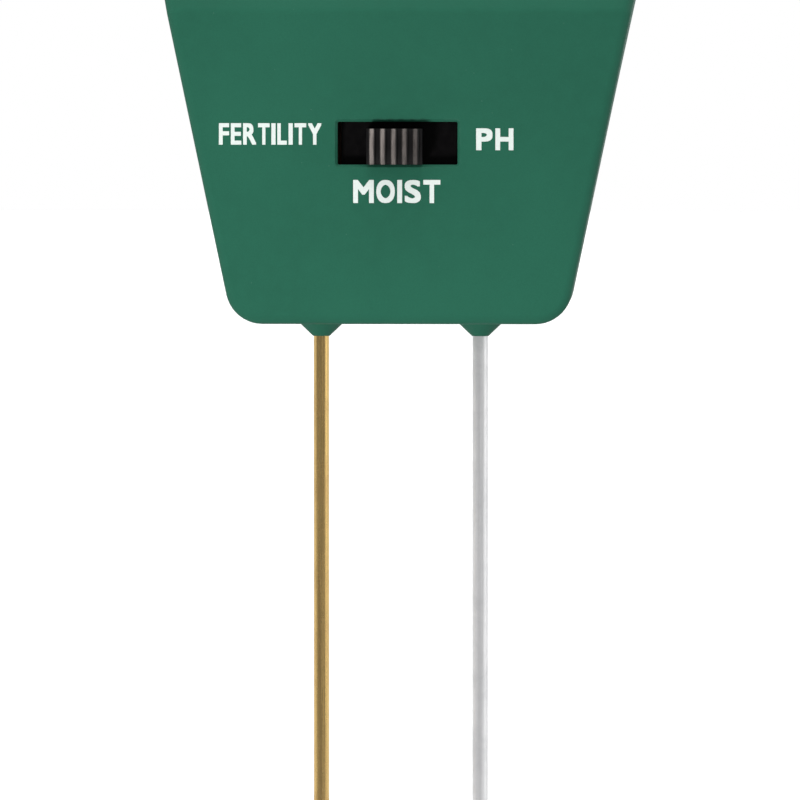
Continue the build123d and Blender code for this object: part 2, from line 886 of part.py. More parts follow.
def balance_weights():
    """Cylinders on the needle's tail and on both cross arms."""
    pointer_part = pointer()
    # start across the needle's frame (x, y), direction, radius, length
    tail_start = -tail_weight_mid - tail_weight_len / 2
    weights = [
        (tail_start, 0, needle.x_dir, tail_weight_r, tail_weight_len),
        (0, arm_weight_start, needle.y_dir, arm_weight_r, arm_weight_len),
        (0, -arm_weight_start, -needle.y_dir, arm_weight_r, arm_weight_len),
    ]
    with BuildPart() as piece:
        for x, y, direction, radius, length in weights:
            start = needle.from_local_coords((x, y, needle_mid))
            with BuildSketch(Plane(origin=start, x_dir=needle.z_dir, z_dir=direction)):
                Circle(radius)
            extrude(amount=length)
        add(pointer_part, mode=Mode.SUBTRACT)
    return piece.part


# ---------------------------------------------------------------- slide switch
shell_y0, shell_y1 = -6.9, -0.95
shell_w, shell_h, shell_wall = 24.4, 8.8, 0.4
base_y0, base_y1 = -1.9, board_y0 - 0.02
pin_end_y = 2.6
contact_z = [switch_z - 2.2, switch_z + 2.2]
contact_spots = [(x, z) for x in (-6.0, -2.0, 2.0, 6.0) for z in contact_z]
pin_hole_w, pin_hole_h = 0.9, 0.5


def switch_frame():
    hollow_y0, hollow_y1 = shell_y0 + shell_wall, 5
    with BuildPart() as piece:
        with Locations((0, (shell_y0 + shell_y1) / 2, switch_z)):
            Box(shell_w, shell_y1 - shell_y0, shell_h)
        fillet(piece.edges().filter_by(Axis.Y), 0.5)
        with Locations((0, (hollow_y0 + hollow_y1) / 2, switch_z)):
            Box(
                shell_w - 2 * shell_wall,
                hollow_y1 - hollow_y0,
                shell_h - 2 * shell_wall,
                mode=Mode.SUBTRACT,
            )
        with Locations((0, shell_y0, switch_z)):
            Box(17.4, 2, 6.5, mode=Mode.SUBTRACT)
    return piece.part


def switch_base():
    with BuildPart() as piece:
        with Locations((0, (base_y0 + base_y1) / 2, switch_z)):
            Box(23.4, base_y1 - base_y0, 7.8)
        with BuildSketch(Plane.XZ):
            with Locations(*contact_spots):
                Rectangle(pin_hole_w, pin_hole_h)
        extrude(amount=4, mode=Mode.SUBTRACT)
    return piece.part


def switch_terminals():
    """A contact pad on the base's front and a pin through the board, at each spot."""
    with BuildPart() as piece:
        with BuildSketch(plane_at_y(base_y0)):
            with Locations(*contact_spots):
                RectangleRounded(1.7, 1.3, 0.3)
        extrude(amount=0.24)
        with BuildSketch(plane_at_y(pin_end_y)):
            with Locations(*contact_spots):
                Rectangle(pin_hole_w - 0.06, pin_hole_h - 0.06)
        extrude(amount=pin_end_y - base_y0)
    return piece.part


knob_x = -0.5  # the finger piece sits a little left and low in the slot
knob_z = switch_z - 0.42
knob_low, knob_high = knob_z - knob_h / 2, knob_z + knob_h / 2
rib_pitch, rib_w, rib_depth, rib_edge_r = 1.47, 0.78, 0.62, 0.22
nose_y = -half_depth - knob_out
crown_rise = 0.75  # the nose curves back this far at its top and bottom
crown_y = nose_y + crown_rise
carrier_y0, carrier_y1 = shell_y0 + 0.45, -3.3
root_y = carrier_y0 + 0.5  # the finger piece ends inside the carrier
valley_y = crown_y + rib_depth
valley_low, valley_high = knob_low - 0.8, knob_high + 0.8


def is_crest(edge):
    """True for an arc along the outermost surface of the knob."""
    return (
        edge.geom_type == GeomType.CIRCLE
        and edge.center().Y < crown_y
        and abs(edge.position_at(0.5).Y - nose_y) < 0.02
    )


def switch_slider():
    with BuildPart() as piece:
        with Locations((0, (carrier_y0 + carrier_y1) / 2, switch_z)):
            Box(15.6, carrier_y1 - carrier_y0, 7.7)
        # finger piece, crowned from top to bottom
        with BuildSketch(Plane.YZ.offset(knob_x)):
            with BuildLine():
                Polyline(
                    (crown_y, knob_low),
                    (root_y, knob_low),
                    (root_y, knob_high),
                    (crown_y, knob_high),
                )
                ThreePointArc((crown_y, knob_high), (nose_y, knob_z), (crown_y, knob_low))
            make_face()
        extrude(amount=knob_w / 2, both=True)
        # valleys between the five ribs, and a step outside the last rib on each side
        for i in range(-1, 5):
            x = knob_x + (i - 1.5) * rib_pitch
            with BuildSketch(Plane.YZ.offset(x - (rib_pitch - rib_w) / 2)):
                with BuildLine():
                    ThreePointArc(
                        (valley_y, valley_high),
                        (nose_y + rib_depth, knob_z),
                        (valley_y, valley_low),
                    )
                    Polyline(
                        (valley_y, valley_low),
                        (nose_y - 2, valley_low),
                        (nose_y - 2, valley_high),
                        (valley_y, valley_high),
                    )
                make_face()
            extrude(amount=rib_pitch - rib_w, mode=Mode.SUBTRACT)
        fillet([edge for edge in piece.edges() if is_crest(edge)], rib_edge_r)
        # pockets for the contact springs
        with Locations(*[(0, carrier_y1, z) for z in contact_z]):
            Box(6.4, 1.0, 1.6, mode=Mode.SUBTRACT)
    return piece.part


contact_spring_h = 1.2
# x, y round the bent strip, seen from above
contact_spring_outline = [
    (-2.9, -3.5), (-2.25, -2.17), (-1.75, -2.17), (-1.05, -3.57),
    (1.05, -3.57), (1.75, -2.17), (2.25, -2.17), (2.9, -3.5),
    (2.7, -3.6), (2.1, -2.37), (1.9, -2.37), (1.2, -3.78),
    (-1.2, -3.78), (-1.9, -2.37), (-2.1, -2.37), (-2.7, -3.6),
]


def contact_springs():
    with BuildPart() as piece:
        for z in contact_z:
            with BuildSketch(Plane.XY.offset(z - contact_spring_h / 2)):
                with BuildLine():
                    Polyline(*contact_spring_outline, close=True)
                make_face()
            extrude(amount=contact_spring_h)
    return piece.part


# ---------------------------------------------------------------- circuit board
board_w, board_h, board_mid_z = 42.0, 16.0, base_z + 22.95
resistors_at = mirrored(11.5, base_z + 19.05) + [(0.0, base_z + 16.85)]
resistor_y = board_y1 + 1.35
lead_x, lead_r, lead_bend_r = 4.9, 0.3, 0.8
lead_end_y = board_y0 - 0.6
# along the resistor, radius
resistor_profile = [
    (-3.1, 0.33), (-3.1, 0.8), (-2.8, 1.1), (-2.0, 1.1), (-1.7, 0.9),
    (1.7, 0.9), (2.0, 1.1), (2.8, 1.1), (3.1, 0.8), (3.1, 0.33),
]


def circuit_board():
    lead_holes = [(x + side * lead_x, z) for x, z in resistors_at for side in (-1, 1)]
    with BuildPart() as piece:
        with BuildSketch(plane_at_y(board_y1)):
            with Locations((0, board_mid_z)):
                RectangleRounded(board_w, board_h, 1.0)
            with Locations(*board_screws_at):
                Circle(clear_r, mode=Mode.SUBTRACT)
            with Locations(*contact_spots):
                Rectangle(pin_hole_w, pin_hole_h, mode=Mode.SUBTRACT)
            with Locations(*lead_holes):
                Circle(0.36, mode=Mode.SUBTRACT)
        extrude(amount=board_y1 - board_y0)
    return piece.part


def board_screws():
    seats = [seat((x, board_y1, z), (0, 1, 0)) for x, z in board_screws_at]
    return screw_set(small_screw(head_r=1.75, head_h=1.3, length=6.2), seats)


def resistors():
    with BuildPart() as piece:
        for x, z in resistors_at:
            middle = (x, resistor_y, z)
            with BuildSketch(Plane(origin=middle, x_dir=(1, 0, 0), z_dir=(0, 0, 1))):
                with BuildLine():
                    Polyline(*resistor_profile, close=True)
                make_face()
            revolve(axis=Axis(middle, (1, 0, 0)))
    return piece.part


def resistor_leads():
    with BuildPart() as piece:
        for x, z in resistors_at:
            with BuildLine() as lead:
                FilletPolyline(
                    (x - lead_x, lead_end_y, z),
                    (x - lead_x, resistor_y, z),
                    (x + lead_x, resistor_y, z),
                    (x + lead_x, lead_end_y, z),
                    radius=lead_bend_r,
                )
            with BuildSketch(Plane(origin=(x - lead_x, lead_end_y, z), z_dir=(0, 1, 0))):
                Circle(lead_r)
            sweep(path=lead.wires()[0])
    return piece.part


# ---------------------------------------------------------------- probe pieces
# radius, z
probe_profile = [
    (0, -probe_len), (0.18, -probe_len + 0.08), (0.3, -probe_len + 0.35),
    (probe_r, -probe_len + probe_tip), (probe_r, -0.02), (neck_r, -0.02),
    (neck_r, collar_z0), (collar_r, collar_z0), (collar_r, collar_z1),
    (shank_r, collar_z1), (shank_r, lug_z), (stud_r, lug_z),
    (stud_r, stud_z - 0.4), (0.6, stud_z), (0, stud_z),
]
lug_thick = 0.4
stud_hole_r = stud_r + 0.02


def probe(x):
    with BuildPart() as piece:
        with BuildSketch(Plane(origin=(x, 0, 0), x_dir=(1, 0, 0), z_dir=(0, -1, 0))):
            with BuildLine():
                Polyline(*probe_profile, close=True)
            make_face()
        revolve(axis=Axis((x, 0, 0), (0, 0, 1)))
    return piece.part


def brass_probe():
    return probe(-probe_x)


def silver_probe():
    return probe(probe_x)


def solder_lugs():
    """A washer round each stud with a tab towards the middle."""
    with BuildPart() as piece:
        for side in (-1, 1):
            with BuildSketch(Plane.XY.offset(lug_z)):
                with Locations((side * probe_x, 0)):
                    Circle(2.3)
                with Locations((side * (probe_x - 3.6), 0)):
                    RectangleRounded(5.4, 1.9, 0.6)
                with Locations((side * probe_x, 0)):
                    Circle(stud_hole_r, mode=Mode.SUBTRACT)
            extrude(amount=lug_thick)
    return piece.part


def probe_nuts():
    with BuildPart() as piece:
        for side in (-1, 1):
            with BuildSketch(Plane.XY.offset(lug_z + lug_thick)):
                with Locations((side * probe_x, 0)):
                    RegularPolygon(2.3, 6)
                    Circle(stud_hole_r, mode=Mode.SUBTRACT)
            extrude(amount=1.6)
    return piece.part


# ---------------------------------------------------------------- wires
lug_wire_x = probe_x - 5.3
probe_wire_r, meter_wire_r = 0.55, 0.45
wire_y = board_y1 + 0.02  # wires end just behind the board
low_pad_z, high_pad_z = base_z + 16.45, base_z + 29.05


def wire(points, tangents, radius):
    with BuildPart() as piece:
        with BuildLine() as route:
            Spline(*points, tangents=tangents)
        with BuildSketch(Plane(origin=route.line @ 0, z_dir=route.line % 0)):
            Circle(radius)
        sweep(path=route.line)
    return piece.part


def probe_wire(side):
    """From a solder lug to the lower pad on the board; side is -1 left, 1 right."""
    points = [
        (side * lug_wire_x, 0, lug_z + 0.64),
        (side * (lug_wire_x + 0.4), 2.6, base_z + 10.95),
        (side * 6.5, wire_y, low_pad_z),
    ]
    return wire(points, ((0, 0, 1), (0, -1, 0)), probe_wire_r)


def meter_wire(side):
    """From the upper pad on the board to a meter tag; side is -1 left, 1 right."""
    end = dial_point(side * tag_x, tag_hole_y, -7.7)
    points = [
        (side * 7.2, wire_y, high_pad_z),
        (side * 6.4, 4.4, base_z + 30.65),
        (end.X, end.Y, end.Z),
    ]
    return wire(points, ((0, 1, 0), (0, -tilt_cos, tilt_sin)), meter_wire_r)


def probe_wire_brass():
    return probe_wire(-1)


def probe_wire_silver():
    return probe_wire(1)


def meter_wire_left():
    return meter_wire(-1)


def meter_wire_right():
    return meter_wire(1)


# ---------------------------------------------------------------- export, one file per piece
pieces = [
    front_casing, rear_casing, casing_screws, window_lens,
    scale_plate, scale_card, pointer_stops, dial_screws,
    movement_frame, movement_screws, flux_ring, core_magnet, core_spacers,
    coil_former, coil_winding, pivot_staffs, front_hairspring, rear_hairspring,
    spring_collets, front_bridge, bridge_screws, jewel_screws, zero_adjuster,
    rear_spring_anchor, meter_tags, pointer, balance_weights,
    switch_frame, switch_base, switch_terminals, switch_slider, contact_springs,
    circuit_board, board_screws, resistors, resistor_leads,
    brass_probe, silver_probe, solder_lugs, probe_nuts,
    probe_wire_brass, probe_wire_silver, meter_wire_left, meter_wire_right,
]
for build_piece in pieces:
    name = build_piece.__name__
    solid = build_piece()
    solid.label = name
    export_step(solid, f"parts/{name}.step")
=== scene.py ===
"""A soil meter: green casing, sloped dial under a clear window, slide switch and two probe rods.

The front faces -Y, +X is to the viewer's right and the probes point down -Z.
Sizes are in millimetres unless a comment says metres; MM turns them into metres.
"""

import math

import bpy
from mathutils import Matrix, Vector


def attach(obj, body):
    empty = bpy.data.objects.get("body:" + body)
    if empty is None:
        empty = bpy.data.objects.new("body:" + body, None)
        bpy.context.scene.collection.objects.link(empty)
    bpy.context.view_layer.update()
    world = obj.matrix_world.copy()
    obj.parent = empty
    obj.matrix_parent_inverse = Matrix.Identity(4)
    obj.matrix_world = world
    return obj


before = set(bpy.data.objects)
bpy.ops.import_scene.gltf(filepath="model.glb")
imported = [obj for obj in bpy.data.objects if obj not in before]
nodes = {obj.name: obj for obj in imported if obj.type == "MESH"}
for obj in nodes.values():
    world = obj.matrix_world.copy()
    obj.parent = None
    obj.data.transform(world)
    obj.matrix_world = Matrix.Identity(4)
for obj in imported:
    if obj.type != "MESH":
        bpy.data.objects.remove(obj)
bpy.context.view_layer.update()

MM = 0.001
WHITE = (1, 1, 1, 1)

FRONT_Y = -9.0                 # the casing's front plane
DIAL_TILT = math.radians(32.0)  # the dial leans back from upright
TILT_SIN, TILT_COS = math.sin(DIAL_TILT), math.cos(DIAL_TILT)
SLOPE_Z = 44.3                 # where the slope's reference line meets the front plane
AXIS_UP, AXIS_IN = 7, 7        # from there to the dial's centre: up the slope, then in behind it
AXIS_Y = FRONT_Y + AXIS_UP * TILT_SIN + AXIS_IN * TILT_COS
AXIS_Z = SLOPE_Z + AXIS_UP * TILT_COS - AXIS_IN * TILT_SIN


# ---------------------------------------------------------------- colours and shader graphs
def srgb(*channels):
    """A linear colour from 0-255 sRGB channels."""
    linear = [((c / 255 + 0.055) / 1.055) ** 2.4 if c > 10 else c / 255 / 12.92 for c in channels]
    return (*linear, 1.0)


def tint(colour, factor, lift=0.0):
    return tuple(min(1.0, c * factor + lift) for c in colour[:3]) + (1.0,)


class Graph:
    """A node tree, with short calls that add nodes to it."""

    def __init__(self, tree):
        self.tree = tree

    def put(self, socket, value):
        """Link a socket to value, or set it if value is a plain number or tuple."""
        if isinstance(value, bpy.types.NodeSocket):
            self.tree.links.new(value, socket)
        else:
            socket.default_value = value

    def add(self, kind, inputs={}, **settings):
        node = self.tree.nodes.new("ShaderNode" + kind)
        for key, value in settings.items():
            setattr(node, key, value)
        for key, value in inputs.items():
            self.put(node.inputs[key], value)
        return node

    def math(self, operation, *values):
        return self.add("Math", dict(enumerate(values)), operation=operation).outputs[0]

    def ramp(self, value, over=(0.3, 0.7), to=(0.0, 1.0)):
        """Smoothly map the range over onto the range to, clamped."""
        return self.add("MapRange", {
            "Value": value, "From Min": over[0], "From Max": over[1],
            "To Min": to[0], "To Max": to[1]}, interpolation_type="SMOOTHSTEP").outputs["Result"]

    def blend(self, factor, first, second):
        """Mix two shaders."""
        return self.add("MixShader", {0: factor, 1: first, 2: second}).outputs[0]


class Material(Graph):
    """A material's nodes. Patterns lie in object coordinates times scale: millimetres by default."""

    def __init__(self, name, scale=1000.0):
        self.mat = bpy.data.materials.new(name)
        self.mat.use_nodes = True
        super().__init__(self.mat.node_tree)
        self.bsdf = self.find("BSDF_PRINCIPLED")
        self.object_place = self.add("TexCoord").outputs["Object"]
        self.place = self.coord(scale, scale, scale)

    def find(self, kind):
        return next(node for node in self.tree.nodes if node.type == kind)

    def coord(self, *scale, rotation=(0, 0, 0)):
        return self.add("Mapping", {
            "Scale": scale, "Rotation": rotation, "Vector": self.object_place}).outputs[0]

    def axis(self, name):
        return self.add("SeparateXYZ", {0: self.place}).outputs[name]

    def noise(self, scale, detail=3.0, rough=0.55, distort=0.0, at=None):
        return self.add("TexNoise", {
            "Scale": scale, "Detail": detail, "Roughness": rough, "Distortion": distort,
            "Vector": at or self.place}).outputs["Fac"]

    def voronoi(self, scale, feature="F1", at=None):
        return self.add("TexVoronoi", {"Scale": scale, "Vector": at or self.place},
                        feature=feature).outputs["Distance"]

    def mix(self, factor, first, second):
        """Mix two colours."""
        return self.add("Mix", {0: factor, 6: first, 7: second}, data_type="RGBA").outputs[2]

    def bump(self, height, depth, strength=1.0, normal=None):
        """A bump depth millimetres deep, laid over normal if there is one."""
        inputs = {"Strength": strength, "Distance": depth * MM, "Height": height}
        if normal is not None:
            inputs["Normal"] = normal
        return self.add("Bump", inputs).outputs[0]

    def edge(self, radius):
        """1 on sharp and lightly rounded outer edges, 0 on flats; radius in millimetres."""
        bevel = self.add("Bevel", {"Radius": radius * MM}, samples=6)
        geometry = self.add("NewGeometry")
        facing = self.add("VectorMath", {0: bevel.outputs[0], 1: geometry.outputs["Normal"]},
                          operation="DOT_PRODUCT").outputs["Value"]
        return self.ramp(self.math("SUBTRACT", 1.0, facing), over=(0.004, 0.10))

    def specks(self, scale, size, patch_scale, patch_detail, over, amount):
        """Small dots, kept only inside broad noise patches."""
        dots = self.math("LESS_THAN", self.voronoi(scale), size)
        patches = self.ramp(self.noise(patch_scale, patch_detail), over, to=(0.0, amount))
        return self.math("MULTIPLY", dots, patches)

    def surface(self, **inputs):
        for key, value in inputs.items():
            self.put(self.bsdf.inputs[key.replace("_", " ")], value)
        return self.mat


# ---------------------------------------------------------------- kinds of material
def plastic(name, base, rough, grain, grain_depth, wear, mottle, spec=0.42):
    """Mottled, grained plastic with pale rubbed edges and a few dust specks."""
    mat = Material(name)
    broad = mat.noise(scale=0.045, detail=4.0, rough=0.6)
    mid = mat.noise(scale=0.55, detail=4.0, rough=0.6)
    fine = mat.noise(scale=grain, rough=0.65)
    colour = mat.mix(mat.ramp(broad), tint(base, 1 - mottle), tint(base, 1 + mottle))
    colour = mat.mix(mat.ramp(mid, over=(0.35, 0.7), to=(0.0, 0.5)),
                     colour, tint(base, 1 + mottle * 1.2))
    colour = mat.mix(mat.ramp(fine, over=(0.35, 0.75), to=(0.0, 0.35)),
                     colour, tint(base, factor=0.80))
    edge = mat.math("MULTIPLY", mat.edge(radius=0.45), mat.ramp(
        mat.noise(scale=0.9, detail=5.0, rough=0.7), over=(0.42, 0.66), to=(0.0, wear)))
    colour = mat.mix(edge, colour, tint(base, factor=1.25, lift=0.035))
    dust = mat.specks(scale=0.75, size=0.055, patch_scale=0.23, patch_detail=1.0,
                      over=(0.55, 0.6), amount=0.25)
    colour = mat.mix(dust, colour, tint(base, factor=1.0, lift=0.10))
    roughness = mat.ramp(mid, to=(rough - 0.05, rough + 0.06))
    roughness = mat.math("ADD", roughness, mat.ramp(fine, to=(-0.03, 0.03)))
    edge_polish = 0.15
    roughness = mat.math("SUBTRACT", roughness, mat.math("MULTIPLY", edge, edge_polish))
    normal = mat.bump(broad, depth=0.05, strength=0.5)
    normal = mat.bump(fine, depth=grain_depth, normal=normal)
    return mat.surface(Base_Color=colour, Roughness=roughness, Normal=normal,
                       Specular_IOR_Level=spec)


def metal(name, base, rough, dark, streak=(900.0, 900.0, 900.0), tarnish=None, spots=0.0,
          metallic=1.0):
    """Streaked metal. dark scales the colour of the darker streaks."""
    mat = Material(name)
    streaks = mat.noise(scale=2.2, detail=5.0, rough=0.7, at=mat.coord(*streak))
    blots = mat.noise(scale=0.16, detail=5.0, rough=0.65, distort=0.4)
    colour = mat.mix(mat.ramp(streaks), tint(base, dark), tint(base, factor=1.05))
    if tarnish:
        colour = mat.mix(mat.ramp(blots, over=(0.42, 0.72), to=(0.0, 0.55)), colour, tarnish)
    if spots:
        pits = mat.specks(scale=1.6, size=0.09, patch_scale=0.4, patch_detail=2.0,
                          over=(0.5, 0.6), amount=spots)
        colour = mat.mix(pits, colour, tint(base, factor=0.35))
    edge_wear = 0.3
    edge = mat.math("MULTIPLY", mat.edge(radius=0.2), edge_wear)
    colour = mat.mix(edge, colour, tint(base, factor=1.25))
    roughness = mat.ramp(streaks, over=(0.25, 0.75), to=(rough - 0.07, rough + 0.10))
    roughness = mat.math("ADD", roughness,
                         mat.ramp(blots, over=(0.35, 0.75), to=(-0.02, 0.09)))
    normal = mat.bump(streaks, depth=0.006, strength=0.8)
    normal = mat.bump(mat.noise(scale=3.0, detail=4.0, rough=0.7), depth=0.004, strength=0.7,
                      normal=normal)
    return mat.surface(Base_Color=colour, Roughness=roughness, Metallic=metallic, Normal=normal)


def knob_plastic():
    """Black moulding whose ribs are painted pale: rubbed wear plus a painted highlight. The slide
    behind them stays deep black.
    """
    # rib_shift lines the pale paint up with the ribs, a little to the left, on the side the light
    # falls on, as part of the painted highlight
    rib_pitch, rib_shift = 1.47, 0.62
    # whole turns keep the fraction positive, and the half puts each crest at 0.5
    turns = 100.5
    mat = Material("black_abs")
    mid = mat.noise(scale=0.9, detail=4.0, rough=0.6)
    fine = mat.noise(scale=9.0, rough=0.65)
    y = mat.axis("Y")
    x = mat.axis("X")
    # distance from the middle of the nearest rib: 0 on its crest, 0.5 in the valley
    rib = mat.math("DIVIDE", mat.math("ADD", x, rib_shift), rib_pitch)
    phase = mat.math("FRACT", mat.math("ADD", rib, turns))
    off = mat.math("ABSOLUTE", mat.math("SUBTRACT", phase, 0.5))
    # only the front of the ribs is painted pale: rubbed wear in streaks, plus a painted highlight
    # that fades towards the right, away from the light on the left
    crest = mat.math("MULTIPLY", mat.ramp(off, over=(0.11, 0.28), to=(1.0, 0.0)),
                     mat.ramp(y, over=(-10.9, -11.25)))
    streaks = mat.noise(scale=1.0, detail=4.0, rough=0.7, at=mat.coord(2600.0, 1000.0, 300.0))
    crest = mat.math("MULTIPLY", crest, mat.ramp(streaks, over=(0.30, 0.62), to=(0.45, 1.0)))
    # painted highlight: the crests are paler on the left, where the light comes from, fading to the
    # right
    crest = mat.math("MULTIPLY", crest, mat.ramp(x, over=(-3.6, 3.0), to=(1.0, 0.30)))
    colour = mat.mix(mat.ramp(mid), (0.0022, 0.0020, 0.0022, 1), (0.0040, 0.0036, 0.0038, 1))
    # pale colour of the crests: rubbed wear and painted highlight together
    colour = mat.mix(crest, colour, (0.165, 0.145, 0.135, 1))
    roughness = mat.math("ADD", mat.ramp(mid, to=(0.42, 0.52)), mat.ramp(fine, to=(-0.04, 0.04)))
    return mat.surface(Base_Color=colour, Roughness=roughness, Normal=mat.bump(fine, depth=0.01),
                       Specular_IOR_Level=mat.ramp(y, over=(-8.0, -11.4), to=(0.05, 0.30)))


def needle_enamel():
    base, edge_wear = srgb(190, 26, 22), 0.35
    mat = Material("needle_enamel")
    mottle = mat.noise(scale=2.2, detail=4.0, rough=0.6)
    colour = mat.mix(mat.ramp(mottle), tint(base, factor=0.86), tint(base, factor=1.08))
    edge = mat.math("MULTIPLY", mat.edge(radius=0.08), edge_wear)
    colour = mat.mix(edge, colour, tint(base, factor=0.6))
    normal = mat.bump(mat.noise(scale=1.3), depth=0.006, strength=0.8)
    return mat.surface(Base_Color=colour, Roughness=mat.ramp(mottle, to=(0.25, 0.38)),
                       Normal=normal, Specular_IOR_Level=0.55)


def clear_window():
    """Nearly clear plastic with faint haze and hairline scratches."""
    scratch_rough = 0.08
    mat = Material("clear_window")
    haze = mat.noise(scale=0.35, detail=4.0, rough=0.6)
    hairs = mat.voronoi(scale=1.0, feature="DISTANCE_TO_EDGE",
                        at=mat.coord(160.0, 2300.0, 2300.0, rotation=(0.0, 0.0, 0.5)))
    scratches = mat.math("MULTIPLY", mat.ramp(hairs, over=(0.0, 0.012), to=(1.0, 0.0)),
                         mat.ramp(mat.noise(scale=0.12), over=(0.5, 0.62)))
    roughness = mat.math("ADD", mat.ramp(haze, over=(0.35, 0.75), to=(0.0, 0.02)),
                         mat.math("MULTIPLY", scratches, scratch_rough))
    return mat.surface(
        Base_Color=mat.mix(mat.ramp(haze), (0.955, 0.975, 0.972, 1), (0.975, 0.985, 0.985, 1)),
        Roughness=roughness, Transmission_Weight=1.0, IOR=1.14,
        Normal=mat.bump(mat.noise(scale=0.12, detail=2.0), depth=0.02, strength=0.15))


def card_paper():
    """Off-white card with fibres and slightly yellowed patches."""
    mat = Material("dial_card")
    fibres = mat.noise(scale=1.0, detail=5.0, rough=0.7, at=mat.coord(2600.0, 700.0, 700.0))
    blots = mat.noise(scale=0.09)
    colour = mat.mix(mat.ramp(fibres), srgb(232, 231, 225), srgb(244, 243, 239))
    colour = mat.mix(mat.ramp(blots, over=(0.4, 0.75), to=(0.0, 0.35)),
                     colour, srgb(236, 232, 218))
    return mat.surface(Base_Color=colour, Roughness=mat.ramp(fibres, to=(0.55, 0.68)),
                       Normal=mat.bump(fibres, depth=0.01, strength=0.6))


def ink(name, *channels):
    base = srgb(*channels)
    mat = Material(name)
    mottle = mat.noise(scale=3.2, detail=4.0, rough=0.7)
    fine = mat.noise(scale=14.0, detail=2.0)
    colour = mat.mix(mat.ramp(mottle, over=(0.3, 0.75)),
                     tint(base, factor=0.93), tint(base, factor=1.02))
    colour = mat.mix(mat.ramp(fine, over=(0.55, 0.8), to=(0.0, 0.18)),
                     colour, tint(base, factor=0.8))
    return mat.surface(Base_Color=colour, Roughness=mat.ramp(mottle, to=(0.37, 0.52)),
                       Normal=mat.bump(fine, depth=0.004, strength=0.8))


# ---------------------------------------------------------------- materials on the pieces
def paint(material, *pieces):
    for piece in pieces:
        slots = nodes[piece].data.materials
        slots.clear()
        slots.append(material)


GREEN = (0.0142, 0.0835, 0.0520, 1.0)
# pieces, then: name, colour, roughness, grain scale, grain depth, edge wear, mottle[, specular]
PLASTICS = (
    ("front_casing rear_casing", ("green_abs", GREEN, 0.50, 6.5, 0.012, 0.4, 0.06, 0.10)),
    ("movement_frame core_spacers",
     ("movement_abs", srgb(34, 35, 38), 0.52, 5.0, 0.02, 0.4, 0.15)),
    ("switch_base", ("phenolic", srgb(120, 68, 38), 0.5, 3.0, 0.01, 0.5, 0.22)),
    ("circuit_board", ("board_laminate", srgb(164, 116, 60), 0.45, 2.6, 0.006, 0.5, 0.16)),
    ("resistors", ("resistor_lacquer", srgb(206, 178, 128), 0.28, 4.0, 0.01, 0.2, 0.1, 0.6)),
    ("probe_wire_brass meter_wire_left",
     ("wire_red", srgb(170, 30, 28), 0.36, 4.0, 0.008, 0.1, 0.15, 0.55)),
    ("probe_wire_silver meter_wire_right",
     ("wire_black", srgb(26, 26, 28), 0.38, 4.0, 0.008, 0.1, 0.2, 0.55)),
)
for pieces, values in PLASTICS:
    paint(plastic(*values), *pieces.split())
paint(knob_plastic(), "switch_slider")

ROD_STREAK = (1500.0, 1500.0, 12.0)  # streaks run along Z
paint(metal("brass_rod", srgb(236, 200, 130), rough=0.22, dark=0.86, streak=ROD_STREAK,
            tarnish=srgb(206, 170, 112), spots=0.35), "brass_probe")
paint(metal("silver_rod", srgb(238, 238, 239), rough=0.42, dark=0.94, streak=ROD_STREAK,
            tarnish=srgb(212, 213, 215), spots=0.2, metallic=0.84), "silver_probe")
paint(metal("zinc_steel", srgb(176, 177, 178), rough=0.30, dark=0.78,
            tarnish=srgb(150, 150, 140), spots=0.3),
      "casing_screws", "pointer_stops", "dial_screws", "movement_screws", "pivot_staffs",
      "bridge_screws", "switch_frame", "board_screws", "probe_nuts")
paint(metal("rolled_sheet", srgb(198, 199, 201), rough=0.34, dark=0.85,
            streak=(60.0, 1400.0, 1400.0)),
      "scale_plate", "coil_former", "front_bridge", "zero_adjuster", "rear_spring_anchor")
paint(metal("soft_iron", srgb(140, 141, 144), rough=0.36, dark=0.8,
            tarnish=srgb(110, 108, 104)), "flux_ring")
paint(metal("magnet", srgb(88, 88, 92), rough=0.5, dark=0.75, spots=0.5), "core_magnet")
paint(metal("copper_wire", srgb(176, 90, 50), rough=0.30, dark=0.6,
            streak=(1000.0, 1000.0, 9000.0)), "coil_winding")
paint(metal("bronze_strip", srgb(204, 158, 92), rough=0.26, dark=0.85),
      "front_hairspring", "rear_hairspring", "balance_weights", "contact_springs")
paint(metal("brass_turned", srgb(200, 164, 96), rough=0.24, dark=0.85),
      "spring_collets", "jewel_screws")
paint(metal("tinned", srgb(192, 193, 196), rough=0.32, dark=0.85,
            tarnish=srgb(160, 160, 158)),
      "meter_tags", "switch_terminals", "resistor_leads", "solder_lugs")

paint(needle_enamel(), "pointer")
paint(clear_window(), "window_lens")
paint(card_paper(), "scale_card")

white_ink = ink("white_ink", 194, 202, 198)
black_ink = ink("black_ink", 30, 30, 32)
red_ink = ink("red_ink", 196, 40, 34)
green_ink = ink("green_ink", 46, 140, 74)
blue_ink = ink("blue_ink", 34, 96, 170)

# ---------------------------------------------------------------- printing
INK_THICK = 0.008
LAYER_STEP = 0.0005    # lift between the overlaid copies of a bold letter
NATURAL_WIDTH = 0.9    # width scale against height where no width is given

# planes to print on: x to the right, y up the surface, z out of it, each just clear of it
front_print = (Matrix.Translation((0, (FRONT_Y - 0.006) * MM, 0))
               @ Matrix.Rotation(math.radians(90), 4, "X"))
dial_print = Matrix((
    (1, 0, 0, 0),
    (0, TILT_SIN, -TILT_COS, AXIS_Y * MM),
    (0, TILT_COS, TILT_SIN, AXIS_Z * MM),
    (0, 0, 0, 1),
)) @ Matrix.Translation((0, 0, 0.004 * MM))


def ink_object(name, verts, faces, material):
    """Flat faces thickened into a layer of ink that rides on the meter."""
    mesh = bpy.data.meshes.new(name)
    mesh.from_pydata(verts, [], faces)
    mesh.materials.append(material)
    obj = bpy.data.objects.new(name, mesh)
    bpy.context.scene.collection.objects.link(obj)
    solidify = obj.modifiers.new("ink", "SOLIDIFY")
    solidify.thickness = INK_THICK * MM
    solidify.offset = 1.0
    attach(obj, "meter")


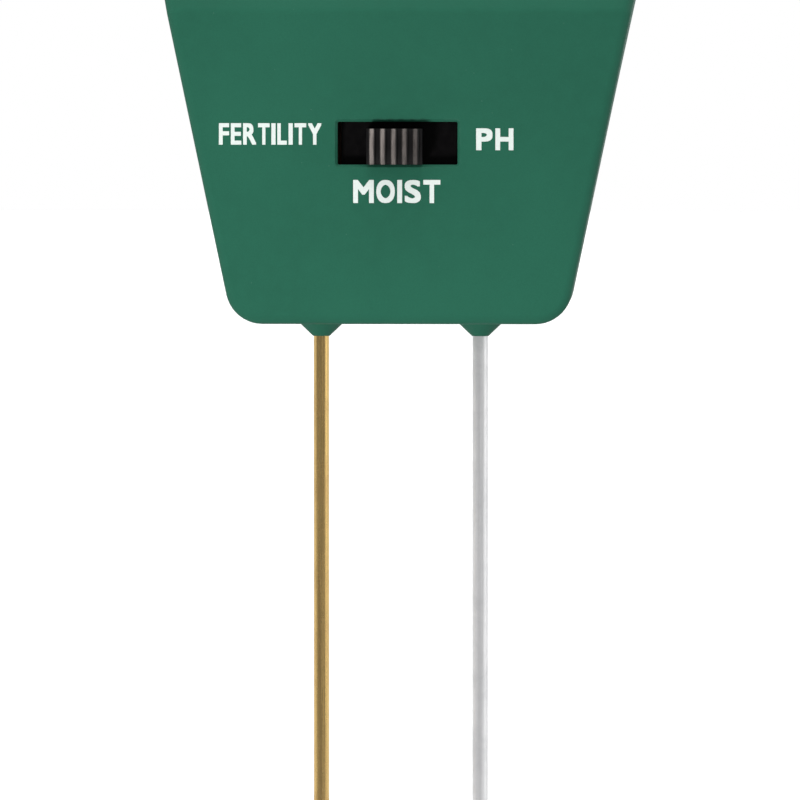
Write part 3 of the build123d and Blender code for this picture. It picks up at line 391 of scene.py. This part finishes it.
def text_mesh(name, text, resolution):
    curve = bpy.data.curves.new(name, "FONT")
    curve.body = text
    curve.resolution_u = resolution
    obj = bpy.data.objects.new(name, curve)
    bpy.context.scene.collection.objects.link(obj)
    bpy.context.view_layer.update()
    depsgraph = bpy.context.evaluated_depsgraph_get()
    mesh = bpy.data.meshes.new_from_object(obj.evaluated_get(depsgraph))
    bpy.data.objects.remove(obj)
    return mesh


def letters(name, text, plane, x, y, height, bold, width=None, material=black_ink, spin=0.0,
            resolution=5):
    """Printed letters centred on x, y in the plane.

    height is the overall height. bold is how far the strokes spread each way: the word is
    laid down again a little to each side.
    """
    mesh = text_mesh(name, text, resolution)
    xs = [vert.co.x for vert in mesh.vertices]
    ys = [vert.co.y for vert in mesh.vertices]
    scale_y = (height - 2 * bold) / (max(ys) - min(ys))
    scale_x = (width - 2 * bold) / (max(xs) - min(xs)) if width else scale_y * NATURAL_WIDTH
    mid_x, mid_y = (max(xs) + min(xs)) / 2, (max(ys) + min(ys)) / 2
    turn = Matrix.Rotation(spin, 4, "Z")
    shifts = [(0.0, 0.0)]
    shifts += [(i * bold, j * bold) for i in (-1, 0, 1) for j in (-1, 0, 1) if i or j]
    verts, faces = [], []
    for layer, (dx, dy) in enumerate(shifts):
        first = len(verts)
        for vert in mesh.vertices:
            spot = turn @ Vector(((vert.co.x - mid_x) * scale_x + dx,
                                  (vert.co.y - mid_y) * scale_y + dy, 0))
            verts.append(tuple(plane @ Vector(
                ((spot.x + x) * MM, (spot.y + y) * MM, layer * LAYER_STEP * MM))))
        faces += [[first + j for j in face.vertices] for face in mesh.polygons]
    bpy.data.meshes.remove(mesh)
    ink_object(name, verts, faces, material)


def dial_shape(name, polys, material):
    """Flat shapes on the dial: polys are lists of (x, y), each wound anticlockwise."""
    verts, faces = [], []
    for poly in polys:
        faces.append(list(range(len(verts), len(verts) + len(poly))))
        verts += [tuple(dial_print @ Vector((x * MM, y * MM, 0))) for x, y in poly]
    ink_object(name, verts, faces, material)


# words on the casing's front, letter by letter:
# name, text, left x, right x, centre y, height, bold, relative letter widths, relative gap
CASING_WORDS = (
    ("label_fertility", "FERTILITY", -24.25, -10.40, 27.55, 2.9, 0.10,
     (0.97, 1.00, 1.26, 1.10, 0.40, 0.90, 0.40, 1.12, 1.28), 0.17),
    ("label_moist", "MOIST", -6.12, 5.64, 19.80, 3.12, 0.13, (2.80, 2.50, 0.66, 2.20, 2.30), 0.34),
    ("label_ph", "PH", 10.47, 15.50, 26.85, 2.95, 0.14, (2.20, 2.42), 0.38),
)
for name, text, left, right, y, height, bold, widths, gap in CASING_WORDS:
    unit = (right - left) / (sum(widths) + gap * (len(text) - 1))
    x = left
    for i, (letter, width) in enumerate(zip(text, widths)):
        letters(f"{name}_{i + 1}", letter, front_print, x + width * unit / 2, y, height, bold,
                width=width * unit, material=white_ink)
        x += (width + gap) * unit

# ---------------------------------------------------------------- dial: three scales
DIAL_LEFT, DIAL_RIGHT = 132.0, 48.0    # degrees at the ends of the sweep
# inner and outer radii of the coloured bands
MOIST_BAND = (32.4, 34.6)
PH_BAND = (25.4, 26.4)
FERTILITY_BAND = (18.6, 20.2)
LINE = 0.12                            # width of the arc lines along the bands
MOIST_TICKS = (0.04, 0.92)             # first mark and span, as parts of the sweep
PH_TICKS = (0.05, 0.90)


def sweep(part):
    """Degrees at a part of the sweep: 0 at its left end, 1 at its right."""
    return DIAL_LEFT + (DIAL_RIGHT - DIAL_LEFT) * part


def mark(ticks, i, count):
    """Degrees of mark i, with count steps across the marks."""
    return sweep(ticks[0] + ticks[1] * i / count)


def arc(radius_0, radius_1, start, end, step=1.5):
    """Quads of a ring sector, angles in degrees."""
    count = max(1, int(abs(end - start) / step))
    quads = []
    for i in range(count):
        a = math.radians(start + (end - start) * i / count)
        b = math.radians(start + (end - start) * (i + 1) / count)
        quads.append([(radius * math.cos(angle), radius * math.sin(angle)) for radius, angle in
                      ((radius_0, a), (radius_1, a), (radius_1, b), (radius_0, b))])
    return quads


def tick(outer, inner, half_width, angle):
    return arc(outer, inner, angle + half_width, angle - half_width)


# name, ink, then sectors: band, right end, left end, as parts of the sweep
BANDS = (
    ("red", red_ink, ((MOIST_BAND, 0.30, 0.02), (FERTILITY_BAND, 0.33, 0.03),
                      (PH_BAND, 0.36, 0.03))),
    ("green", green_ink, ((MOIST_BAND, 0.70, 0.30), (FERTILITY_BAND, 0.67, 0.33),
                          (PH_BAND, 0.70, 0.36))),
    ("blue", blue_ink, ((MOIST_BAND, 0.98, 0.70), (PH_BAND, 0.97, 0.70))),
    ("rich", red_ink, ((FERTILITY_BAND, 0.97, 0.67),)),
)
for name, band_ink, sectors in BANDS:
    quads = []
    for band, right, left in sectors:
        quads += arc(*band, sweep(right), sweep(left))
    dial_shape(f"dial_band_{name}", quads, band_ink)

ticks = []
for i in range(19):
    inner, half_width = (31.6, 0.18) if i % 2 else (30.9, 0.28)
    ticks += tick(MOIST_BAND[0], inner, half_width, mark(MOIST_TICKS, i, 18))
for i in range(10):
    ticks += tick(PH_BAND[0], 24.4, 0.3, mark(PH_TICKS, i, 9))
# the moisture line lies over its band's inner edge, the other two just inside theirs
ticks += arc(MOIST_BAND[0], MOIST_BAND[0] + LINE, sweep(0.98), sweep(0.02))
for radius in (PH_BAND[0], FERTILITY_BAND[0]):
    ticks += arc(radius - LINE, radius, sweep(0.97), sweep(0.03))
dial_shape("dial_ticks", ticks, black_ink)


def numeral(name, text, radius, degrees, height, bold):
    """A number on the dial, standing upright along its radius."""
    angle = math.radians(degrees)
    letters(name, text, dial_print, radius * math.cos(angle), radius * math.sin(angle), height,
            bold, spin=angle - math.pi / 2, resolution=3)


for i in range(10):
    numeral(f"dial_moist_{i + 1}", str(i + 1), radius=29.5, degrees=mark(MOIST_TICKS, i, 9),
            height=1.75, bold=0.05)
for i in range(10):
    value = 8.0 - 0.5 * i
    numeral(f"dial_ph_{i + 1}", f"{value:g}", radius=23.25, degrees=mark(PH_TICKS, i, 9),
            height=1.25 if value == int(value) else 1.1, bold=0.035)
# text, centre y, height
for text, y, height in (("MOIST", 36.6, 1.6), ("PH", 21.4, 1.2), ("FERTILITY", 16.9, 1.4)):
    letters(f"dial_word_{text.lower()}", text, dial_print, 0, y, height, bold=0.05)


# ---------------------------------------------------------------- floor (metres)
def floor_paint():
    """Pale matt paint, which reflections see partly replaced by a dim grey."""
    mat = Material("floor_paint", scale=1.0)
    mottle = mat.noise(scale=2.0)
    mat.surface(Base_Color=mat.mix(mottle, (0.90, 0.90, 0.90, 1), (0.93, 0.93, 0.93, 1)),
                Roughness=mat.ramp(mottle, to=(0.85, 0.95)), Specular_IOR_Level=0.2)
    x, y = mat.axis("X"), mat.axis("Y")
    # dimmer towards the front, and around the middle
    front = mat.ramp(y, over=(0.1, -1.3), to=(0.26, 0.86))
    distance_squared = mat.math("ADD", mat.math("MULTIPLY", x, x), mat.math("MULTIPLY", y, y))
    near = mat.ramp(distance_squared, over=(0.25, 1.4), to=(0.66, 0.0))
    dimming = mat.math("MAXIMUM", front, near)
    is_glossy = mat.add("LightPath").outputs["Is Glossy Ray"]
    dim = mat.add("Emission", {"Color": (0.05, 0.05, 0.05, 1)})
    # the mix shader is made before its factor
    both = mat.add("MixShader")
    mat.put(both.inputs[0], mat.math("MULTIPLY", dimming, is_glossy))
    mat.put(both.inputs[1], mat.bsdf.outputs[0])
    mat.put(both.inputs[2], dim.outputs[0])
    mat.put(mat.find("OUTPUT_MATERIAL").inputs["Surface"], both.outputs[0])
    return mat.mat


HALF, FLOOR_Z = 9.0, -0.2000
floor_mesh = bpy.data.meshes.new("floor")
floor_mesh.from_pydata([(x * HALF, y * HALF, FLOOR_Z) for x, y in
                        ((-1, -1), (1, -1), (1, 1), (-1, 1))], [], [(0, 1, 2, 3)])
floor = bpy.data.objects.new("floor", floor_mesh)
bpy.context.scene.collection.objects.link(floor)
floor_mesh.materials.append(floor_paint())
floor.visible_diffuse = False


# ---------------------------------------------------------------- lights (metres)
def aim(place, target):
    """The rotation that points -Z from place to target."""
    return (Vector(target) - Vector(place)).to_track_quat("-Z", "Y").to_euler()


# name, place, target, side of the square, power, seen in reflections
AREA_LIGHTS = (
    ("key_low_left", (-0.10, -0.27, -0.115), (0, -0.009, 0.026), 0.05, 1.02, False),
    ("right_rim", (0.75, -0.15, 0.18), (0, 0, 0.0), 0.5, 0.7, True),
    ("right_fill", (0.75, -0.05, 0.20), (0, 0, 0.0), 0.5, 1.5, False),
    ("left_fill", (-0.75, -0.20, 0.25), (0, 0, 0.0), 0.6, 1.8, False),
    ("back_right", (0.55, 0.70, 0.30), (0, 0.01, 0.0), 0.5, 2.2, False),
    ("back_left", (-0.55, 0.70, 0.30), (0, 0.01, 0.0), 0.5, 1.8, False),
)
for name, place, target, size, power, reflected in AREA_LIGHTS:
    light = bpy.data.lights.new(name, "AREA")
    light.energy = power
    light.shape = "RECTANGLE"
    light.size = light.size_y = size
    lamp = bpy.data.objects.new(name, light)
    lamp.location = place
    lamp.rotation_euler = aim(place, target)
    lamp.visible_camera = False
    lamp.visible_glossy = reflected
    bpy.context.scene.collection.objects.link(lamp)

overhead = bpy.data.lights.new("overhead", "SUN")
overhead.energy = 2.9
overhead.angle = math.radians(40)
sun = bpy.data.objects.new("overhead", overhead)
sun.rotation_euler = (math.radians(12), 0, 0)
sun.visible_glossy = False
bpy.context.scene.collection.objects.link(sun)

# ---------------------------------------------------------------- world
world = bpy.data.worlds.new("studio")
bpy.context.scene.world = world
world.use_nodes = True
sky = Graph(world.node_tree)
sky.tree.nodes.clear()
output = sky.add("OutputWorld")
rays = sky.add("LightPath").outputs
generated = sky.add("TexCoord").outputs["Generated"]
direction = sky.add("SeparateXYZ", {0: generated}).outputs
seen = sky.add("Background", {"Color": WHITE, "Strength": 1.0})
lighting = sky.add("Background", {"Color": WHITE, "Strength": 0.51})
# reflections see the node's default grey, darker towards the front and the left
reflected = sky.add("Background")
front_dark = sky.ramp(direction["Y"], over=(-0.9, 0.05), to=(0.38, 1.0))
left_dark = sky.ramp(direction["X"], over=(-0.9, 0.4), to=(0.50, 1.0))
sky.put(reflected.inputs["Strength"], sky.math("MULTIPLY", front_dark, left_dark))
unseen = sky.blend(rays["Is Glossy Ray"], lighting.outputs[0], reflected.outputs[0])
studio = sky.blend(rays["Is Camera Ray"], unseen, seen.outputs[0])
sky.put(output.inputs["Surface"], studio)

# ---------------------------------------------------------------- camera (metres)
DISTANCE, FRAME_WIDTH = 1.30, 0.108
ELEVATION, AZIMUTH = math.radians(2.5), math.radians(2.0)
target = Vector((0.0002, FRONT_Y * MM, -0.00835))
camera_data = bpy.data.cameras.new("camera")
camera_data.sensor_width = 36.0
camera_data.lens = 36.0 * DISTANCE / FRAME_WIDTH
camera_data.clip_start, camera_data.clip_end = 0.01, 50.0
camera = bpy.data.objects.new("camera", camera_data)
camera.location = target + DISTANCE * Vector((
    math.sin(AZIMUTH) * math.cos(ELEVATION),
    -math.cos(AZIMUTH) * math.cos(ELEVATION),
    math.sin(ELEVATION)))
camera.rotation_euler = aim(camera.location, target)
bpy.context.scene.collection.objects.link(camera)
bpy.context.scene.camera = camera
bpy.context.scene.view_settings.view_transform = "Standard"
